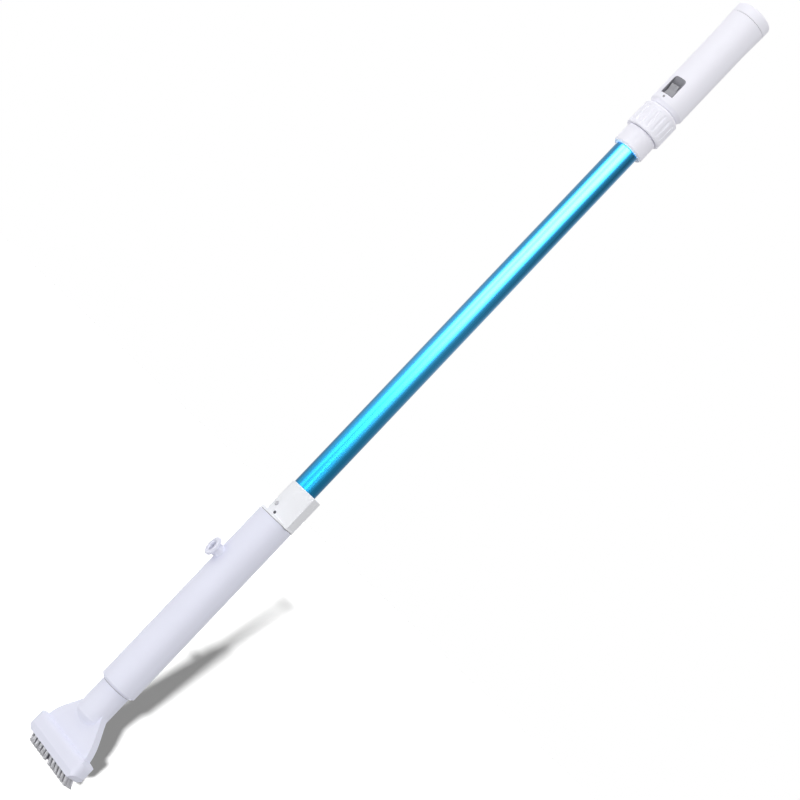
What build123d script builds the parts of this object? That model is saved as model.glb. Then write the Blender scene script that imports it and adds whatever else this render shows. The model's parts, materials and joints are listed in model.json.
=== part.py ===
"""Battery pool vacuum wand with a wall brush head, as an assembly of separate pieces.

Frame: the pole runs along +Z with the brush at the bottom, the front of the head, the
lock button and the switch face -Y, and the brush is wide along X. The origin is on the
pole's centre line, in the plane of the bristle tips. Millimetres.
"""
from build123d import *
from math import cos, radians, sin
import os

os.makedirs("parts", exist_ok=True)

# ---- stations along the pole, from the bristle tips ----
LIP_BOTTOM = 9.5
LIP_CREASE = 17.0            # the lip tapers in below this
LIP_TOP = 33.0
DOME_BOTTOM = 54.0           # lowest point of the round neck, proud of the flat fan
SLEEVE_BOTTOM = 103.0
NECK_TOP = 131.0
SPOUT_Z = 276.0
SLEEVE_TOP = 339.0
COUPLING_TOP = 382.5
FERRULE_BOTTOM = 878.0
NUT_BOTTOM = 902.0
NUT_TOP = 934.6
GRIP_BOTTOM = 935.2
SWITCH_Z = 959.0             # middle of the switch window
CAP_SEAM = 1068.0
CAP_TOP = 1080.5

# ---- radii ----
POLE_R = 14.0
POLE_WALL = 1.2
GRIP_R = 20.9
GRIP_BORE_R = 18.0
SPIGOT_R = 19.2              # grip end that the cap screws over
CAP_R = 21.9
NUT_R = 21.6
THREAD_R = 16.4              # grip neck that the union nut screws on
FERRULE_R = 18.5
FERRULE_TUBE_R = 15.2
SLEEVE_R = 21.7
SLEEVE_BORE_R = 19.2
NECK_R = 17.35
NECK_BORE_R = 15.0
SOCKET_R = 17.8              # bottom bore of the sleeve, which the neck pushes into

# ---- directions round the pole, degrees from the front, +X side positive ----
SPOUT_AZ = -25.0
BOSS_AZ = 27.0               # front face of the coupling's square boss
BUTTON_AZ = -8.0
SWITCH_AZ = 8.0              # the grip is made facing the front and turned by this
SCREW_AZ = 16.0

# ---- gaps ----
RUNNING = 0.05               # radial, pins and shafts
FREE = 0.3                   # between bodies that only pass each other

# ---- nozzle ----
FAN_THICK = 9.0
FAN_WALL = 1.8
FAN_WIDTH = 80.0
FAN_TOP = 76.0
FAN_FOOT = 27.0              # the fan's mouth, inside the lip
LIP_LENGTH = 96.0
LIP_DEPTH = 22.0
LIP_END_TAPER = 7.0          # each end draws in by this much below the crease
LIP_FACE_TAPER = 2.5
CAVITY_LENGTH = 77.0         # hollow of the lip, closed at the mouth by the brush base
CAVITY_DEPTH = 14.6
CAVITY_CORNER = 1.6
BASE_RECESS = 0.8            # from the lip's lower edge up to the brush base
BASE_T = 3.0
BASE_RIM = 2.0
SLOT_LENGTH = 64.0           # suction slot between the rows
SLOT_WIDTH = 6.0
FIRST_TUFT = 3.6             # from the middle gap to the first tuft's centre
TUFT_PITCH = 6.7
TUFTS_PER_HALF = 5
TUFT_W = 4.3                 # at the root
TUFT_T = 3.0
TUFT_ROW_Y = 5.4
TUFT_ROOT = 2.0
TUFT_END_Y = 4.7
END_ROW_X = 36.2
ROW_GROWTH = 1.5             # a tuft is this much wider at its tip
END_GROWTH = 0.3
SPLAY = 2.0                  # the two halves' tips lean away from the middle by this
RAKE = (1.0, 3.2)            # and all tips stand this far along X and Y from the roots

# ---- batteries: two tiers of four AA cells ----
CELL_R = 7.1
CELL_LENGTH = 50.0
CELL_RING_R = 10.25
NUB_R = 2.6
NUB_T = 1.0
CONTACT_R = 3.6
CONTACT_T = 0.2
CARRIER_BOTTOM = 973.0
CARRIER_PLATE = 1.2
CARRIER_STEM_R = 3.0

# ---- switch ----
WINDOW_W = 16.5
WINDOW_H = 24.0
ROCKER_W = 10.6
ROCKER_H = 15.0
TRAY_Y = -15.0               # floor of the switch tray
PIN_Y = -12.6

# ---- pump ----
MOTOR_R = 12.2
MOTOR_BOTTOM = 289.0
MOTOR_TOP = 320.0
SHAFT_R = 1.0
POD_BOTTOM = 284.0
POD_TOP = 322.0
PUMP_BOTTOM = 262.0
PUMP_BORE_R = 17.2
IMPELLER_R = 15.0
SPOUT_BORE_R = 5.5
SPOUT_TUBE_R = 7.2
SPOUT_FLANGE_R = 10.8
SPOUT_REACH = 33.0           # flange face, from the pole's centre line
SPOUT_FLANGE_T = 3.6
SPOUT_INNER_R = 4.8          # narrower passage through the sleeve's wall
SPOUT_SEAT = 22.5            # where the hose seat begins
SPOUT_MOUTH = 1.4            # chamfer at the mouth
CABLE_X = 7.0
CABLE_R = 2.0

# ---- lock button ----
BUTTON_Z = 352.7
BUTTON_R = 2.2
BUTTON_PROUD = 1.0
DISH_R = 8.0                 # finger dish round the button
DISH_DEPTH = 0.8


def radial_plane(azimuth, z):
    """A plane at height z whose normal points outward at the azimuth, local y up."""
    a = radians(azimuth)
    return Plane(origin=(0, 0, z), x_dir=(cos(a), sin(a), 0), z_dir=(sin(a), -cos(a), 0))


def turned(*points):
    """Half profile of (radius, height) points, spun about the pole's centre line."""
    with BuildPart() as body:
        with BuildSketch(Plane.XZ):
            with BuildLine():
                Polyline(*points, close=True)
            make_face()
        revolve(axis=Axis.Z)
    return body.part


def ring(outer, inner, bottom, top):
    return turned((inner, bottom), (outer, bottom), (outer, top), (inner, top))


def domed(radius, ball, bottom, top):
    """Upright cylinder whose lower end is a shallow dome cut from a larger ball."""
    with BuildPart() as body:
        with BuildSketch(Plane.XY.offset(bottom)):
            Circle(radius)
        extrude(amount=ball)
        with Locations((0, 0, bottom + ball)):
            Sphere(ball, mode=Mode.INTERSECT)
        with BuildSketch(Plane.XY.offset(bottom + ball - 1)):
            Circle(radius)
        extrude(amount=top - bottom - ball + 1)
    return body.part


def finish(part, label):
    part.label = label
    export_step(part, "parts/" + label + ".step")


# =====================================================================
# Brush head
# =====================================================================

def fan_sketch(margin, foot):
    """Bell-shaped outline: as wide as the neck at the top, full width in the lip."""
    half_neck = NECK_R - 1.0 - margin
    half_lip = FAN_WIDTH / 2 - margin
    with BuildSketch() as outline:
        with BuildLine():
            shoulder = Spline(
                (half_neck, FAN_TOP),
                (25.0 - margin, 62.0),
                (35.4 - margin, 46.0),
                (half_lip, LIP_TOP - 1),
            )
            side = Line(shoulder @ 1, (half_lip, foot))
            mouth = Line(side @ 1, (0, foot))
            middle = Line(mouth @ 1, (0, FAN_TOP))
            Line(middle @ 1, shoulder @ 0)
        make_face()
        mirror(about=Plane.YZ)
    return outline.sketch


DOME_BALL = 20.5             # radius of the ball that the neck's end is cut from
ORING_Z = 112.0
ORING_R = 1.3
FLAP_PIN_R = 0.9
KNUCKLE_R = 1.9
FLAP_GAP = 0.3
FLAP_PIN_Y = 13.2
FLAP_PIN_Z = NECK_TOP + FLAP_GAP + KNUCKLE_R
LUG_X = 6.9
LUG_T = 1.7
LUG_R = 1.6

with BuildPart() as nozzle_body:
    with BuildSketch(Plane.XZ):
        add(fan_sketch(0, FAN_FOOT))
    extrude(amount=FAN_THICK / 2, both=True)
    add(domed(NECK_R, DOME_BALL, DOME_BOTTOM, NECK_TOP))
    with BuildSketch(Plane.XZ):
        add(fan_sketch(FAN_WALL, FAN_FOOT))
    extrude(amount=FAN_THICK / 2 - FAN_WALL, both=True, mode=Mode.SUBTRACT)
    inner_ball = DOME_BALL - NECK_R + NECK_BORE_R
    inner_bottom = DOME_BOTTOM + NECK_R - NECK_BORE_R
    add(domed(NECK_BORE_R, inner_ball, inner_bottom, NECK_TOP + 1), mode=Mode.SUBTRACT)
    add(ring(NECK_R + 1, NECK_R - ORING_R, ORING_Z - ORING_R, ORING_Z + ORING_R), mode=Mode.SUBTRACT)
    # two lugs on the rim carry the flap's pin
    for side in (-1, 1):
        with BuildSketch(Plane.YZ.offset(side * LUG_X)):
            with Locations((FLAP_PIN_Y, FLAP_PIN_Z)):
                Circle(LUG_R)
            with Locations((FLAP_PIN_Y, FLAP_PIN_Z - LUG_R)):
                Rectangle(2 * LUG_R, 3 * LUG_R)
            with Locations((FLAP_PIN_Y, FLAP_PIN_Z)):
                Circle(FLAP_PIN_R, mode=Mode.SUBTRACT)
        extrude(amount=side * LUG_T)
finish(nozzle_body.part, "nozzle_body")

with BuildPart() as neck_oring:
    add(ring(NECK_R + 0.25, NECK_R - ORING_R + 0.2, ORING_Z - ORING_R + 0.15, ORING_Z + ORING_R - 0.15))
    fillet(neck_oring.edges().filter_by(GeomType.CIRCLE), radius=0.5)
finish(neck_oring.part, "neck_oring")

with BuildPart() as flap_pin:
    with BuildSketch(Plane.YZ):
        with Locations((FLAP_PIN_Y, FLAP_PIN_Z)):
            Circle(FLAP_PIN_R)
    extrude(amount=LUG_X + LUG_T, both=True)
finish(flap_pin.part, "flap_pin")

FLAP_R = 15.2
FLAP_T = 1.2
FLAP_Y = -0.8                # the disc's centre, moved off the pin
FLAP_BACK_Y = 11.0           # the disc is cut straight here
KNUCKLE_HALF = 6.4

with BuildPart() as flap_valve:
    with BuildSketch(Plane.XY.offset(NECK_TOP + FLAP_GAP)):
        with Locations((0, FLAP_Y)):
            Circle(FLAP_R)
        with Locations((0, FLAP_BACK_Y + FLAP_R)):
            Rectangle(2 * FLAP_R, 2 * FLAP_R, mode=Mode.SUBTRACT)
        with Locations((0, FLAP_PIN_Y - LUG_R)):
            Rectangle(2 * KNUCKLE_HALF, 2 * LUG_R)
    extrude(amount=FLAP_T)
    with BuildSketch(Plane.YZ):
        with Locations((FLAP_PIN_Y, FLAP_PIN_Z)):
            Circle(KNUCKLE_R)
    extrude(amount=KNUCKLE_HALF, both=True)
    with BuildSketch(Plane.YZ):
        with Locations((FLAP_PIN_Y, FLAP_PIN_Z)):
            Circle(FLAP_PIN_R + RUNNING)
    extrude(amount=LUG_X, both=True, mode=Mode.SUBTRACT)
finish(flap_valve.part, "flap_valve")

END_ROUND = 8.0              # the lip's upper ends, seen from the front
PLAN_ROUND = 8.0             # its corners, seen from above
SHOULDER_DROP = 6.0          # depth over which the upper faces curve in to the fan

with BuildPart() as lip_frame:
    # seen from the side: curved shoulders, a flat band, and faces that taper in below the crease
    with BuildSketch(Plane.YZ):
        with BuildLine():
            top = Line((0, LIP_TOP), (FAN_THICK / 2 + 1, LIP_TOP))
            shoulder = Spline(
                top @ 1,
                (LIP_DEPTH / 2, LIP_TOP - SHOULDER_DROP),
                tangents=[(1, -0.35), (0, -1)],
            )
            face = Line(shoulder @ 1, (LIP_DEPTH / 2, LIP_CREASE))
            taper = Line(face @ 1, (LIP_DEPTH / 2 - LIP_FACE_TAPER, LIP_BOTTOM))
            foot = Line(taper @ 1, (0, LIP_BOTTOM))
            Line(foot @ 1, top @ 0)
        make_face()
        mirror(about=Plane.YZ)
    extrude(amount=LIP_LENGTH / 2, both=True)
    # seen from the front: round upper ends, and ends that draw in below the crease
    with BuildSketch(Plane.XZ):
        with BuildLine():
            top = Line((0, LIP_TOP), (LIP_LENGTH / 2 - END_ROUND, LIP_TOP))
            corner = CenterArc((LIP_LENGTH / 2 - END_ROUND, LIP_TOP - END_ROUND), END_ROUND, 90, -90)
            end = Line(corner @ 1, (LIP_LENGTH / 2, LIP_CREASE))
            taper = Line(end @ 1, (LIP_LENGTH / 2 - LIP_END_TAPER, LIP_BOTTOM))
            foot = Line(taper @ 1, (0, LIP_BOTTOM))
            Line(foot @ 1, top @ 0)
        make_face()
        mirror(about=Plane.YZ)
    extrude(amount=LIP_DEPTH, both=True, mode=Mode.INTERSECT)
    with BuildSketch(Plane.XY.offset(LIP_BOTTOM - 1)):
        RectangleRounded(LIP_LENGTH, LIP_DEPTH, PLAN_ROUND)
    extrude(amount=LIP_TOP - LIP_BOTTOM + 2, mode=Mode.INTERSECT)
    with BuildSketch(Plane.XY.offset(LIP_BOTTOM - 1)):
        RectangleRounded(CAVITY_LENGTH, CAVITY_DEPTH, CAVITY_CORNER)
    extrude(amount=FAN_FOOT - LIP_BOTTOM + 1.01, mode=Mode.SUBTRACT)
    with BuildSketch(Plane.XZ):
        add(fan_sketch(0, FAN_FOOT))
    extrude(amount=FAN_THICK / 2, both=True, mode=Mode.SUBTRACT)
finish(lip_frame.part, "lip_frame")


def tuft_sketch(centre_x, centre_y, turn, growth=0):
    with BuildSketch() as tuft:
        with Locations(Location((centre_x, centre_y, 0), (0, 0, turn))):
            RectangleRounded(TUFT_W + growth, TUFT_T + growth / 3, 0.8)
    return tuft.sketch


def row_places(side, y):
    """Tuft centres along half a row, from the gap in the middle outwards."""
    return [(side * (FIRST_TUFT + TUFT_PITCH * i), y, 0) for i in range(TUFTS_PER_HALF)]


front_places = row_places(-1, -TUFT_ROW_Y) + row_places(1, -TUFT_ROW_Y)
rear_places = row_places(-1, TUFT_ROW_Y) + row_places(1, TUFT_ROW_Y)
end_places = [
    (side * END_ROW_X, y, 90) for side in (-1, 1) for y in (-TUFT_END_Y, 0, TUFT_END_Y)
]
BASE_BOTTOM = LIP_BOTTOM + BASE_RECESS


def tuft_group(places, growth):
    """Separate solids, one for each tuft: a socketed root and a raked block down to the tips."""
    tufts = []
    for x, y, turn in places:
        tip_x = x + RAKE[0] + (SPLAY if x > 0 else -SPLAY)
        with BuildPart() as tuft:
            with BuildSketch(Plane.XY.offset(BASE_BOTTOM)):
                add(tuft_sketch(x, y, turn))
            extrude(amount=TUFT_ROOT)
            with BuildSketch(Plane.XY.offset(BASE_BOTTOM)):
                add(tuft_sketch(x, y, turn))
            with BuildSketch(Plane.XY):
                add(tuft_sketch(tip_x, y + RAKE[1], turn, growth))
            loft()
        tufts.append(tuft.part.solids()[0])
    return Compound(children=tufts)


with BuildPart() as brush_base:
    with BuildSketch(Plane.XY.offset(BASE_BOTTOM)):
        RectangleRounded(CAVITY_LENGTH, CAVITY_DEPTH, CAVITY_CORNER)
        RectangleRounded(SLOT_LENGTH, SLOT_WIDTH, SLOT_WIDTH / 2 - 0.1, mode=Mode.SUBTRACT)
    extrude(amount=BASE_T)
    with BuildSketch(Plane.XY.offset(BASE_BOTTOM + BASE_T)):
        RectangleRounded(CAVITY_LENGTH, CAVITY_DEPTH, CAVITY_CORNER)
        RectangleRounded(CAVITY_LENGTH - 2 * BASE_RIM, CAVITY_DEPTH - 2 * BASE_RIM, 1.0, mode=Mode.SUBTRACT)
    extrude(amount=BASE_RIM)
    for place in front_places + rear_places + end_places:
        with BuildSketch(Plane.XY.offset(BASE_BOTTOM)):
            add(tuft_sketch(*place))
        extrude(amount=TUFT_ROOT, mode=Mode.SUBTRACT)
finish(brush_base.part, "brush_base")

finish(tuft_group(front_places, ROW_GROWTH), "tufts_front")
finish(tuft_group(rear_places, ROW_GROWTH), "tufts_rear")
finish(tuft_group(end_places, END_GROWTH), "tufts_ends")

# =====================================================================
# Sleeve, strainer and pump
# =====================================================================

SOCKET_TOP = 124.0
SOCKET_LEAD = 0.55           # the mouth of the socket opens out by this
SLEEVE_BEVEL = (3.0, 2.7)    # across and up the sleeve's lower edge
SLEEVE_EDGE = 0.6
SPOUT_PLANE = radial_plane(SPOUT_AZ, SPOUT_Z)

with BuildPart() as chamber_sleeve:
    add(turned(
        (SOCKET_R + SOCKET_LEAD, SLEEVE_BOTTOM),
        (SLEEVE_R - SLEEVE_BEVEL[0], SLEEVE_BOTTOM),
        (SLEEVE_R, SLEEVE_BOTTOM + SLEEVE_BEVEL[1]),
        (SLEEVE_R, SLEEVE_TOP - SLEEVE_EDGE),
        (SLEEVE_R - SLEEVE_EDGE, SLEEVE_TOP),
        (SLEEVE_BORE_R, SLEEVE_TOP),
        (SLEEVE_BORE_R, SOCKET_TOP + SLEEVE_BORE_R - SOCKET_R),
        (SOCKET_R, SOCKET_TOP),
        (SOCKET_R, SLEEVE_BOTTOM + 2 * SOCKET_LEAD),
    ))
    with BuildSketch(SPOUT_PLANE):
        Circle(SPOUT_TUBE_R)
    extrude(amount=SLEEVE_R + 2, mode=Mode.SUBTRACT)
finish(chamber_sleeve.part, "chamber_sleeve")

with BuildPart() as outlet_spout:
    with BuildSketch(SPOUT_PLANE.offset(PUMP_BORE_R)):
        Circle(SPOUT_TUBE_R)
    extrude(amount=SPOUT_REACH - SPOUT_FLANGE_T - PUMP_BORE_R)
    with BuildSketch(SPOUT_PLANE.offset(SPOUT_REACH - SPOUT_FLANGE_T)):
        Circle(SPOUT_FLANGE_R)
    extrude(amount=SPOUT_FLANGE_T)
    flange_edges = outlet_spout.edges().filter_by(GeomType.CIRCLE)
    fillet([e for e in flange_edges if e.radius > SPOUT_TUBE_R + 1], radius=1.3)
    with BuildSketch(SPOUT_PLANE):
        Circle(SPOUT_INNER_R)
    extrude(amount=SPOUT_REACH, mode=Mode.SUBTRACT)
    with BuildSketch(SPOUT_PLANE.offset(SPOUT_SEAT)):
        Circle(SPOUT_BORE_R)
    extrude(amount=SPOUT_REACH, mode=Mode.SUBTRACT)
    circles = outlet_spout.edges().filter_by(GeomType.CIRCLE)
    seat_rims = circles.filter_by(lambda e: abs(e.radius - SPOUT_BORE_R) < 0.01)
    chamfer(seat_rims.sort_by_distance((0, 0, SPOUT_Z))[-1], length=SPOUT_MOUTH)
finish(outlet_spout.part, "outlet_spout")

INLET_R = 8.0
PUMP_FLOOR = 2.0

with BuildPart() as pump_housing:
    add(turned(
        (INLET_R, PUMP_BOTTOM),
        (SLEEVE_BORE_R, PUMP_BOTTOM),
        (SLEEVE_BORE_R, POD_BOTTOM),
        (PUMP_BORE_R, POD_BOTTOM),
        (PUMP_BORE_R, PUMP_BOTTOM + PUMP_FLOOR),
        (INLET_R, PUMP_BOTTOM + PUMP_FLOOR),
    ))
    with BuildSketch(SPOUT_PLANE):
        Circle(SPOUT_TUBE_R)
    extrude(amount=SLEEVE_R + 2, mode=Mode.SUBTRACT)
finish(pump_housing.part, "pump_housing")

STRAINER_BOTTOM = 200.0
STRAINER_R = 13.0
STRAINER_WALL = 1.2
STRAINER_EDGE = 1.5
STRAINER_FLANGE = 2.0
SLIT_TIERS = 4
SLITS = 12                   # in each tier, staggered by half a pitch
SLIT_WIDTH = 2.4
SLIT_HEIGHT = 11.0
SLIT_BRIDGE = 2.5            # between tiers
FIRST_SLIT = STRAINER_BOTTOM + 4.0

with BuildPart() as strainer:
    add(turned(
        (0, STRAINER_BOTTOM),
        (STRAINER_R - STRAINER_EDGE, STRAINER_BOTTOM),
        (STRAINER_R, STRAINER_BOTTOM + STRAINER_EDGE),
        (STRAINER_R, PUMP_BOTTOM - STRAINER_FLANGE),
        (SLEEVE_BORE_R, PUMP_BOTTOM - STRAINER_FLANGE),
        (SLEEVE_BORE_R, PUMP_BOTTOM),
        (STRAINER_R - STRAINER_WALL, PUMP_BOTTOM),
        (STRAINER_R - STRAINER_WALL, STRAINER_BOTTOM + STRAINER_WALL),
        (0, STRAINER_BOTTOM + STRAINER_WALL),
    ))
    for tier in range(SLIT_TIERS):
        with BuildSketch(Plane.XY.offset(FIRST_SLIT + tier * (SLIT_HEIGHT + SLIT_BRIDGE))):
            with PolarLocations(STRAINER_R, SLITS, start_angle=180 / SLITS * (tier % 2)):
                Rectangle(4 * STRAINER_WALL, SLIT_WIDTH)
        extrude(amount=SLIT_HEIGHT, mode=Mode.SUBTRACT)
finish(strainer.part, "strainer")

SEAL_R = 4.0
SEAL_HEIGHT = 3.0
BUSH_R = 3.0
POD_BORE_R = 17.0
CLAMP_HEIGHT = 6.0           # the pod grips the motor over this length

with BuildPart() as motor_pod:
    add(turned(
        (BUSH_R, POD_BOTTOM + SEAL_HEIGHT),
        (SEAL_R, POD_BOTTOM + SEAL_HEIGHT),
        (SEAL_R, POD_BOTTOM),
        (SLEEVE_BORE_R, POD_BOTTOM),
        (SLEEVE_BORE_R, POD_TOP),
        (POD_BORE_R, POD_TOP),
        (POD_BORE_R, MOTOR_BOTTOM + CLAMP_HEIGHT),
        (MOTOR_R, MOTOR_BOTTOM + CLAMP_HEIGHT),
        (MOTOR_R, MOTOR_BOTTOM),
        (BUSH_R, MOTOR_BOTTOM),
    ))
finish(motor_pod.part, "motor_pod")

with BuildPart() as shaft_seal:
    add(ring(SEAL_R, SHAFT_R + RUNNING, POD_BOTTOM, POD_BOTTOM + SEAL_HEIGHT))
finish(shaft_seal.part, "shaft_seal")

with BuildPart() as shaft_bush:
    add(ring(BUSH_R, SHAFT_R + RUNNING, POD_BOTTOM + SEAL_HEIGHT, MOTOR_BOTTOM))
finish(shaft_bush.part, "shaft_bush")

MOTOR_FLATS = 20.4           # across the can's two flats
TAG = (2.4, 0.6, 5.0)        # motor terminals
TAG_Y = 7.5
SHAFT_BOTTOM = PUMP_BOTTOM + 7.0

with BuildPart() as motor_can:
    with BuildSketch(Plane.XY.offset(MOTOR_BOTTOM)):
        Circle(MOTOR_R)
        Rectangle(2 * MOTOR_R, MOTOR_FLATS, mode=Mode.INTERSECT)
        Circle(SHAFT_R + RUNNING, mode=Mode.SUBTRACT)
    extrude(amount=MOTOR_TOP - MOTOR_BOTTOM)
    with BuildSketch(Plane.XY.offset(MOTOR_TOP)):
        with Locations((0, -TAG_Y), (0, TAG_Y)):
            Rectangle(TAG[0], TAG[1])
    extrude(amount=TAG[2])
finish(motor_can.part, "motor_can")

with BuildPart() as motor_shaft:
    with BuildSketch(Plane.XY.offset(SHAFT_BOTTOM)):
        Circle(SHAFT_R)
    extrude(amount=MOTOR_TOP - 1 - SHAFT_BOTTOM)
finish(motor_shaft.part, "motor_shaft")

IMPELLER_BOTTOM = PUMP_BOTTOM + 6.0
IMPELLER_TOP = POD_BOTTOM - 1.0
SHROUD_T = 1.5
HUB_TIP_R = 2.2
HUB_R = 3.6
VANES = 6
VANE_BOTTOM = IMPELLER_BOTTOM + 4.0
VANE_LENGTH = 12.0
VANE_T = 1.3
VANE_CENTRE_R = 8.6
VANE_SWEEP = 18

with BuildPart() as impeller:
    add(ring(IMPELLER_R, SHAFT_R, IMPELLER_TOP - SHROUD_T, IMPELLER_TOP))
    add(turned(
        (SHAFT_R, IMPELLER_BOTTOM + 1),
        (HUB_TIP_R, IMPELLER_BOTTOM + 1),
        (HUB_R, IMPELLER_BOTTOM + 8),
        (HUB_R, IMPELLER_TOP - 1),
        (SHAFT_R, IMPELLER_TOP - 1),
    ))
    with BuildSketch(Plane.XY.offset(VANE_BOTTOM)):
        with PolarLocations(VANE_CENTRE_R, VANES):
            Rectangle(VANE_LENGTH, VANE_T, rotation=VANE_SWEEP)
        Circle(HUB_TIP_R + 0.8, mode=Mode.SUBTRACT)
    extrude(amount=IMPELLER_TOP - 1 - VANE_BOTTOM)
finish(impeller.part, "impeller")

# =====================================================================
# Coupling between sleeve and pole, with the lock button
# =====================================================================

BLOCK_R = 15.6
BLOCK_FLOOR = 346.5          # the pole's lower end stands on this
BOSS_REACH = 19.0
BOSS_HALF_WIDTH = 16.4
SEAM_T = 0.7                 # open line between the sleeve and the coupling's flange
FLANGE_TOP = SLEEVE_TOP + 3.4
FLANGE_R = SLEEVE_R - 0.2
SEAM_R = SLEEVE_R - 1.0
TENON_BOTTOM = SLEEVE_TOP - 18.0
TENON_BORE_R = 16.6
TENON_ROOF = SLEEVE_TOP - 3.0
SCREW_Z = SLEEVE_TOP + 5.6
SCREW_R = 1.0
SCREW_HEAD_R = 1.8
SCREW_HEAD_T = 1.4
SCREW_TIP = 8.5              # all from the pole's centre line
SCREW_SEAT = BLOCK_R - 2.4
SCREW_CROSS = (2.4, 0.55)
GROMMET_R = 3.2
SCREW_PLANE = radial_plane(SCREW_AZ, SCREW_Z)
BUTTON_PLANE = radial_plane(BUTTON_AZ, BUTTON_Z)
DISH_BALL_R = (DISH_R ** 2 + DISH_DEPTH ** 2) / (2 * DISH_DEPTH)

with BuildPart() as coupling_block:
    with BuildSketch(Plane.XY.offset(SLEEVE_TOP)):
        Circle(BLOCK_R)
        with Locations(Location((0, 0, 0), (0, 0, BOSS_AZ))):
            with Locations((BOSS_REACH / 2, 0)):
                Rectangle(BOSS_REACH, 2 * BOSS_HALF_WIDTH)
    extrude(amount=COUPLING_TOP - SLEEVE_TOP)
    corners = coupling_block.edges().filter_by(Axis.Z).sort_by_distance((0, 0, SLEEVE_TOP))
    fillet(corners[-2:], radius=0.9)
    fillet(coupling_block.faces().sort_by(Axis.Z)[-1].edges(), radius=0.8)
    add(turned(
        (0, SLEEVE_TOP),
        (SEAM_R, SLEEVE_TOP),
        (SEAM_R, SLEEVE_TOP + SEAM_T),
        (FLANGE_R, SLEEVE_TOP + SEAM_T),
        (FLANGE_R, FLANGE_TOP - 1.0),
        (FLANGE_R - 1.2, FLANGE_TOP),
        (0, FLANGE_TOP),
    ))
    with Locations(BUTTON_PLANE.offset(BLOCK_R + DISH_BALL_R - DISH_DEPTH)):
        Sphere(DISH_BALL_R, mode=Mode.SUBTRACT)
    add(ring(SLEEVE_BORE_R, 0, TENON_BOTTOM + 1, SLEEVE_TOP))
    add(ring(TENON_BORE_R, 0, TENON_BOTTOM, TENON_ROOF), mode=Mode.SUBTRACT)
    add(ring(POLE_R, 0, BLOCK_FLOOR, COUPLING_TOP + 1), mode=Mode.SUBTRACT)
    with BuildSketch(Plane.XY.offset(TENON_ROOF - 1)):
        with Locations((CABLE_X, 0)):
            Circle(GROMMET_R)
    extrude(amount=BLOCK_FLOOR - TENON_ROOF + 2, mode=Mode.SUBTRACT)
    with BuildSketch(BUTTON_PLANE):
        Circle(BUTTON_R + FREE)
    extrude(amount=BLOCK_R + 2, mode=Mode.SUBTRACT)
    with BuildSketch(SCREW_PLANE.offset(SCREW_TIP)):
        Circle(SCREW_R)
    extrude(amount=BLOCK_R, mode=Mode.SUBTRACT)
    with BuildSketch(SCREW_PLANE.offset(SCREW_SEAT)):
        Circle(SCREW_HEAD_R)
    extrude(amount=BLOCK_R, mode=Mode.SUBTRACT)
finish(coupling_block.part, "coupling_block")

with BuildPart() as cable_grommet:
    with BuildSketch(Plane.XY.offset(TENON_ROOF)):
        with Locations((CABLE_X, 0)):
            Circle(GROMMET_R)
            Circle(CABLE_R, mode=Mode.SUBTRACT)
    extrude(amount=BLOCK_FLOOR - TENON_ROOF)
finish(cable_grommet.part, "cable_grommet")

with BuildPart() as coupling_screw:
    with BuildSketch(SCREW_PLANE.offset(SCREW_TIP)):
        Circle(SCREW_R)
    extrude(amount=SCREW_SEAT - SCREW_TIP)
    with BuildSketch(SCREW_PLANE.offset(SCREW_SEAT)):
        Circle(SCREW_HEAD_R)
    extrude(amount=SCREW_HEAD_T)
    with BuildSketch(SCREW_PLANE.offset(SCREW_SEAT + SCREW_HEAD_T / 2)):
        Rectangle(SCREW_CROSS[0], SCREW_CROSS[1])
        Rectangle(SCREW_CROSS[1], SCREW_CROSS[0])
    extrude(amount=SCREW_HEAD_T, mode=Mode.SUBTRACT)
finish(coupling_screw.part, "coupling_screw")

BUTTON_INNER = 10.6
BUTTON_FLANGE_R = 4.2
BUTTON_FLANGE_T = 1.0
BUTTON_EDGE = 0.9

with BuildPart() as snap_button:
    with BuildSketch(BUTTON_PLANE.offset(BUTTON_INNER)):
        Circle(BUTTON_R)
    extrude(amount=BLOCK_R + BUTTON_PROUD - BUTTON_INNER)
    crown = snap_button.faces().filter_by(GeomType.PLANE).sort_by_distance((0, 0, BUTTON_Z))[-1]
    fillet(crown.edges(), radius=BUTTON_EDGE)
    with BuildSketch(BUTTON_PLANE.offset(BUTTON_INNER)):
        Circle(BUTTON_FLANGE_R)
    extrude(amount=BUTTON_FLANGE_T)
finish(snap_button.part, "snap_button")

SPRING_T = 0.5
SPRING_W = 5.0
SPRING_FAR_Y = 9.0
SPRING_FOOT = BUTTON_Z - 4.0
SPRING_BEND = BUTTON_Z + 12.0
SPRING_CROWN = (-0.8, BUTTON_Z + 21.8)

with BuildPart() as button_spring:
    with BuildSketch(Plane.YZ):
        with BuildLine():
            near = Line((-BUTTON_INNER, SPRING_FOOT), (-BUTTON_INNER, SPRING_BEND))
            bend = ThreePointArc(near @ 1, SPRING_CROWN, (SPRING_FAR_Y, SPRING_BEND))
            far = Line(bend @ 1, (SPRING_FAR_Y, SPRING_FOOT))
            foot = Line(far @ 1, (SPRING_FAR_Y - SPRING_T, SPRING_FOOT))
            inside = Line(foot @ 1, (SPRING_FAR_Y - SPRING_T, SPRING_BEND))
            arch = ThreePointArc(
                inside @ 1,
                (SPRING_CROWN[0], SPRING_CROWN[1] - SPRING_T),
                (-BUTTON_INNER + SPRING_T, SPRING_BEND),
            )
            back = Line(arch @ 1, (-BUTTON_INNER + SPRING_T, SPRING_FOOT))
            Line(back @ 1, near @ 0)
        make_face()
    extrude(amount=SPRING_W / 2, both=True)
finish(button_spring.part.rotate(Axis.Z, BUTTON_AZ), "button_spring")

# =====================================================================
# Pole, its ferrule and the union nut
# =====================================================================

FERRULE_TOP = NUT_BOTTOM + 10.0
GASKET_T = 1.5

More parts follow.
